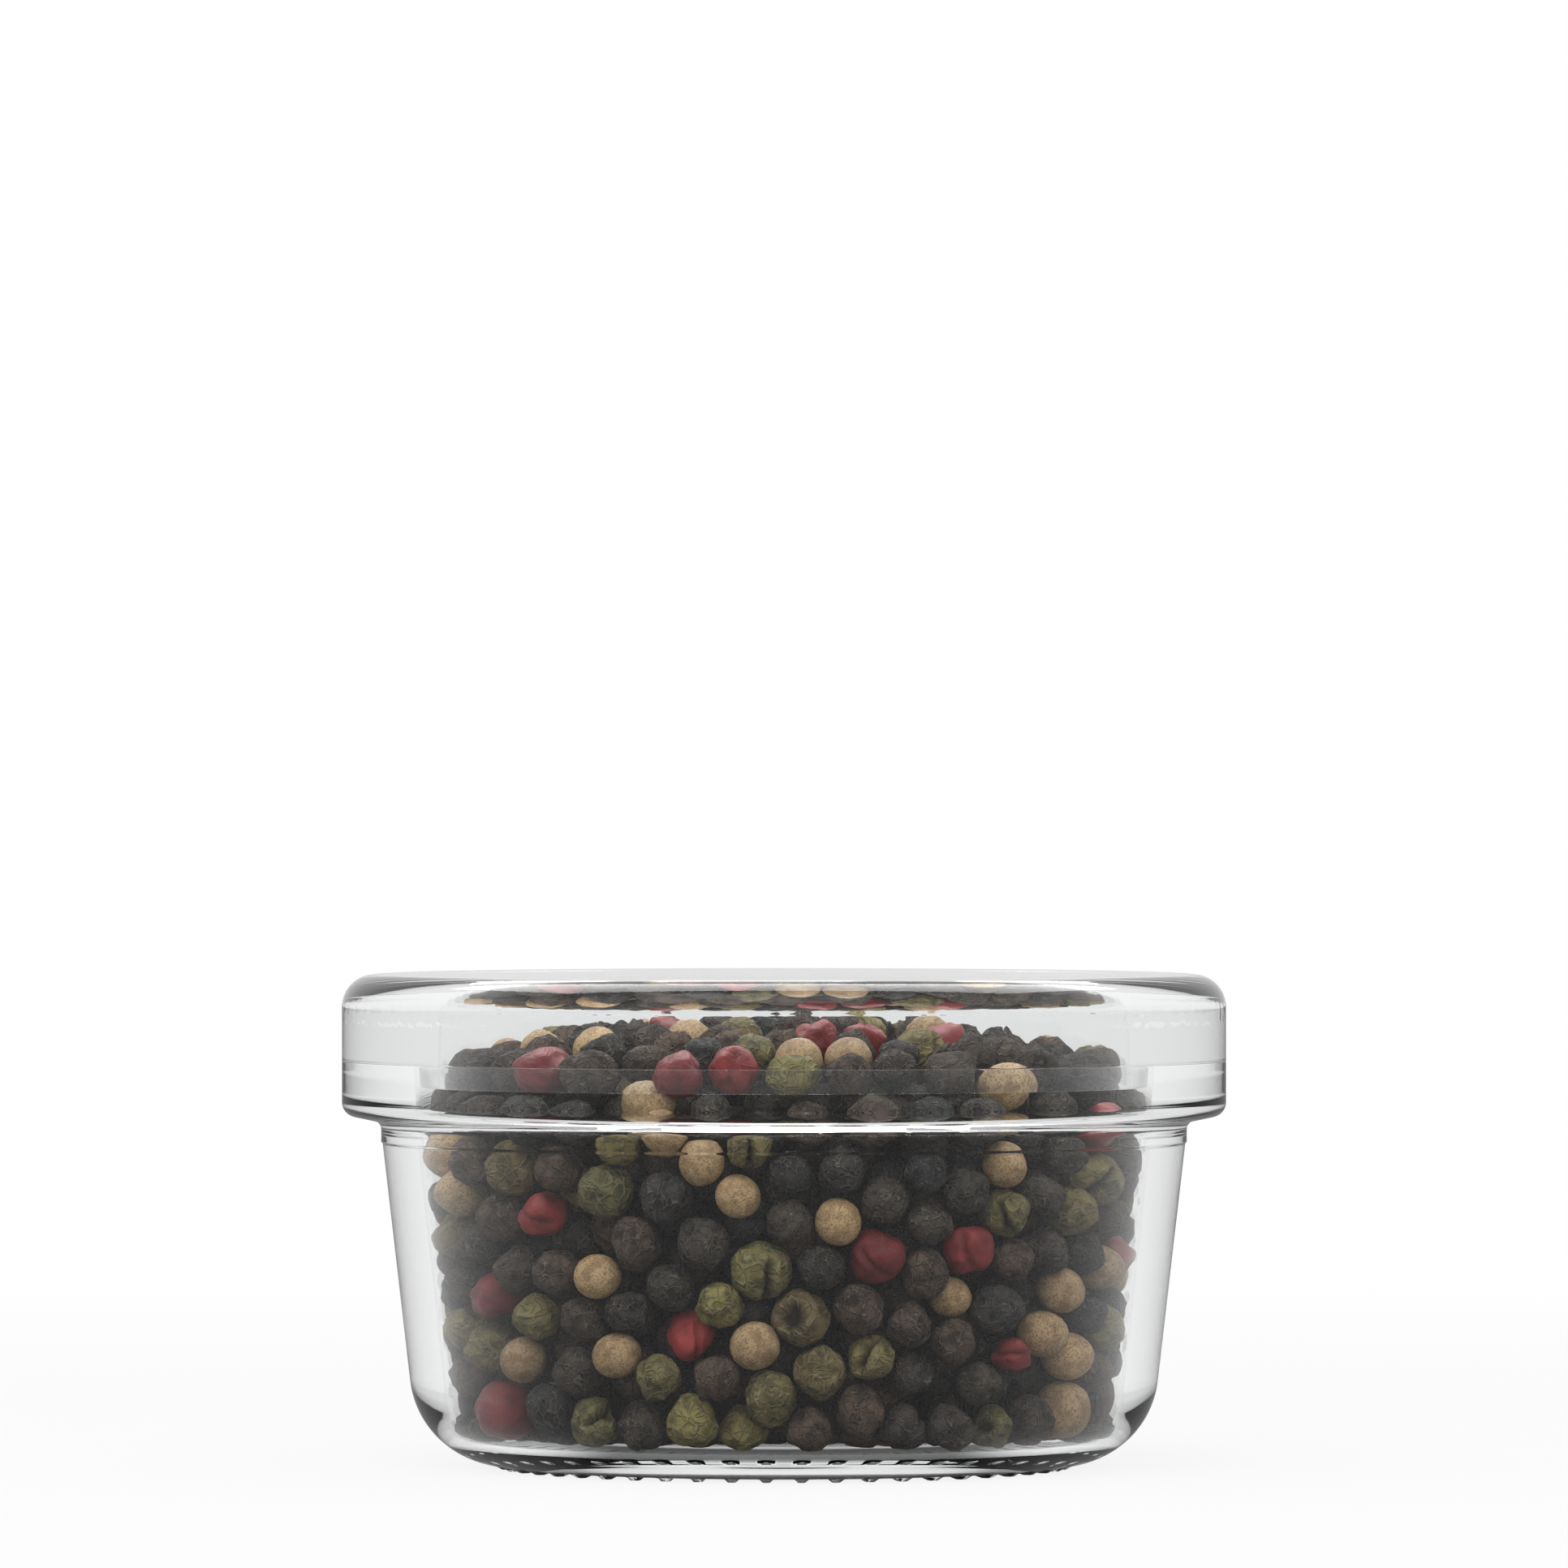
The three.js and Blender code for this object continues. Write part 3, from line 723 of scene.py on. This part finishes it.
def cloudMesh(name, chosen, spin, girth, seed, hole, split):
    mesh = bpy.data.meshes.new(name)
    mesh.from_pydata((place[chosen] * mm).tolist(), [], [])
    for title, values in (("spin", spin), ("girth", girth)):
        layer = mesh.attributes.new(title, "FLOAT_VECTOR", "POINT")
        layer.data.foreach_set("vector", values[chosen].ravel())
    for title, values in (("seed", seed), ("hole", hole), ("split", split)):
        layer = mesh.attributes.new(title, "FLOAT", "POINT")
        layer.data.foreach_set("value", values[chosen])
    return mesh


# Turns the settled places into one mesh for each kind, and a coarser one for the corns out of sight.
def shapeCorns():
    count = len(kind)
    spin = draw.uniform(0, 2 * math.pi, (count, 3))
    girth = (size[:, None] * draw.uniform(*corns["girths"], (count, 3))) * mm
    girth *= np.array(corns["swell"])[kind][:, None]
    seed = draw.uniform(0, 1, count)
    odd = draw.uniform(0, 1, (count, 2))
    openness = np.array([openShare[name] for name in corns["kinds"]])[kind]
    hole = np.where(odd[:, 0] < openness, odd[:, 1] < 0.5, 0).astype(float)
    split = np.where(odd[:, 0] < openness, odd[:, 1] >= 0.5, 0).astype(float)
    lean = corns["tilt"]
    for i, picture in enumerate(leading):  # these turn their open side to the camera
        towards = Vector((-place[i][0], -shot["distance"] - place[i][1], 0)).to_track_quat("Z", "Y")
        tilt = Euler((draw.uniform(-lean, lean), draw.uniform(-lean, lean), draw.uniform(0, 6.28)))
        spin[i] = (towards @ tilt.to_quaternion()).to_euler()
        hole[i] = picture[-1] == "hole"
        split[i] = picture[-1] == "split"
    height = place[:, 2]
    shown = wallGap < corns["shownSkin"]
    shown |= (height > lipFoot - corns["shownTop"]) | (height < floorTop + corns["shownFloor"])
    tree = makeCornTree()
    pieces = []
    for index, name in enumerate((*corns["kinds"], "inner")):
        chosen = np.flatnonzero(~shown if name == "inner" else shown & (kind == index))
        form = dict(zip(formNames, cornForms[name]))
        for title in ("Lump Depth", "Wrinkle Depth", "Hole Depth", "Split Depth"):
            form[title] *= mm
        form["Material"] = makeSkin(name + "Skin", skins[index % len(skins)])
        mesh = cloudMesh(name, chosen, spin, girth, seed, hole, split)
        pieces.append(grow(name + "Corns", mesh, tree, form))
        print(name, "corns", len(chosen), "faces", len(pieces[-1].data.polygons))
    return pieces


cornPieces = shapeCorns()


# Floor: white to the eye and through the glass, with a share of the object's shadow, and dim where
# the glass mirrors it; the glass also shows a painted shadow ring under the ridges and painted light under
# the jar
floorLook = {
    "side": 4.0, "white": 0.86, "through": 0.74, "mirrored": 0.12, "near": 0.12, "far": 0.5,
    # where the painted light under the jar ends, as seen through the glass
    "paintedLightEdge": (0.034, 0.046),
    # painted shadow: a dark ring on the floor under the ridges, which all rays but the camera's see, fading
    # towards the sides
    "paintedShadowInner": (0.019, 0.023), "paintedShadowOuter": (0.033, 0.040), "paintedShadowSides": (0.016, 0.029),
    "paintedShadowStrength": 0.9, "paintedShadowColour": (0.14, 0.14, 0.14, 1),
    "seenColour": (0.95, 0.95, 0.95, 1), "plainColour": (0.18, 0.18, 0.18, 1),
}


def makeFloor():
    material, net = newMaterial("paleFloor")
    path = net.add("ShaderNodeLightPath", None, None, "Is Camera Ray")
    spot = net.add("ShaderNodeTexCoord", None, None, "Object")
    away = net.add("ShaderNodeVectorMath", {"operation": "LENGTH"}, {0: spot}, "Value")
    across = net.add("ShaderNodeSeparateXYZ", None, {0: spot}).of("X")
    aside = across.math("ABSOLUTE", across)
    # painted light: through the glass, the floor under and near the jar glows full white over its shadow
    paintedLight = 1 - net.step(away, *floorLook["paintedLightEdge"])
    mirrored = path.of("Is Glossy Ray") * floorLook["mirrored"]
    glass = path.math("MAXIMUM", path.of("Is Transmission Ray"), mirrored)
    seen = path.math("MAXIMUM", path, glass)
    # painted shadow ring under the ridges, kept off the sides
    paintedShadow = net.step(away, *floorLook["paintedShadowInner"]) * (1 - net.step(away, *floorLook["paintedShadowOuter"]))
    paintedShadow = paintedShadow * (1 - net.step(aside, *floorLook["paintedShadowSides"]))
    shade = 1 - paintedShadow * (1 - path) * floorLook["paintedShadowStrength"]
    colour = net.blend(seen, floorLook["plainColour"], floorLook["seenColour"])
    colour = net.blend(1 - shade, colour, floorLook["paintedShadowColour"])
    matt = net.add("ShaderNodeBsdfDiffuse", None, {"Color": colour})
    glow = net.add("ShaderNodeEmission", None, {"Strength": 1.0})
    plain = net.step(away, floorLook["near"], floorLook["far"])
    white = floorLook["white"] + (1 - floorLook["white"]) * plain
    through = floorLook["through"] + (1 - floorLook["through"]) * paintedLight
    level = through + (white - through) * path
    mixed = net.add("ShaderNodeMixShader", None, {0: seen * level * shade, 1: matt, 2: glow})
    net.add("ShaderNodeOutputMaterial", None, {"Surface": mixed})
    mesh = bpy.data.meshes.new("floor")
    far = floorLook["side"]
    mesh.from_pydata([(-far, -far, 0), (far, -far, 0), (far, far, 0), (-far, far, 0)], [], [(0, 1, 2, 3)])
    mesh.materials.append(material)
    floor = bpy.data.objects.new("floor", mesh)
    scene.collection.objects.link(floor)


makeFloor()


# Studio: white to the eye and even for matt surfaces. Through the glass it is pale all round, and what
# the glass mirrors is darker towards the camera
studio = {
    "soft": 0.55, "through": 0.8, "above": 0.9, "aboveEdge": (0.15, 0.5), "bounces": 24,
    "ring": [(0.0, 0.14), (0.45, 0.42), (0.65, 0.55), (0.9, 0.8)],  # from the camera's side to the far side
}
lamps = {
    "overhead": {"power": 3.0, "width": 0.7, "depth": 0.5, "spot": (-0.1, -0.45, 0.75)},
    "softbox": {"power": 18.0, "width": 1.2, "depth": 0.6, "spot": (0.0, 0.25, 0.8), "matt": False},
    "fill": {"power": 0.8, "width": 0.8, "depth": 0.4, "spot": (0.1, -0.85, 0.2), "gloss": False},
}
lampAim = (0, 0, 0.02)


def grey(level):
    return (level, level, level, 1)


def makeStudio():
    world = bpy.data.worlds.new("studio")
    scene.world = world
    world.use_nodes = True
    net = Net(world.node_tree)
    way = net.add("ShaderNodeTexCoord", None, None, "Generated")
    axes = net.add("ShaderNodeSeparateXYZ", None, {0: way})
    ahead, up = axes.of("Y"), axes.of("Z")
    stops = [(place, grey(level)[:3]) for place, level in studio["ring"]]
    ring = net.ramp(ahead * 0.5 + 0.5, stops)
    path = net.add("ShaderNodeLightPath", None, None, "Is Camera Ray")
    ring = net.blend(path.of("Is Transmission Ray"), ring, grey(studio["through"]))
    dome = net.blend(net.step(up, *studio["aboveEdge"]), ring, grey(studio["above"]))
    glass = path.math("MAXIMUM", path.of("Is Glossy Ray"), path.of("Is Transmission Ray"))
    colour = net.blend(glass, grey(studio["soft"]), dome)
    colour = net.blend(path, colour, grey(1.0))
    sky = net.add("ShaderNodeBackground", None, {"Color": colour, "Strength": 1.0})
    net.add("ShaderNodeOutputWorld", None, {"Surface": sky})


def addLamp(name, power, width, depth, spot, gloss=True, matt=True):
    data = bpy.data.lights.new(name, "AREA")
    data.shape = "RECTANGLE"
    data.size = width
    data.size_y = depth
    data.energy = power
    lamp = bpy.data.objects.new(name, data)
    lamp.location = spot
    lamp.rotation_euler = (Vector(lampAim) - Vector(spot)).to_track_quat("-Z", "Y").to_euler()
    lamp.visible_diffuse = matt
    lamp.visible_glossy = gloss
    lamp.visible_transmission = gloss
    scene.collection.objects.link(lamp)


makeStudio()
for title, values in lamps.items():
    addLamp(title, **values)
scene.cycles.max_bounces = studio["bounces"]
scene.cycles.transmission_bounces = studio["bounces"]
scene.cycles.transparent_max_bounces = studio["bounces"]
scene.view_settings.view_transform = "Standard"
print("studio set")

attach(jarGlass, "jar")
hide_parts("jar_body")
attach(lidGlass, "lid")
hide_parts("lid")
for piece in cornPieces:
    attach(piece, "jar")
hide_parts("peppercorn_fill")
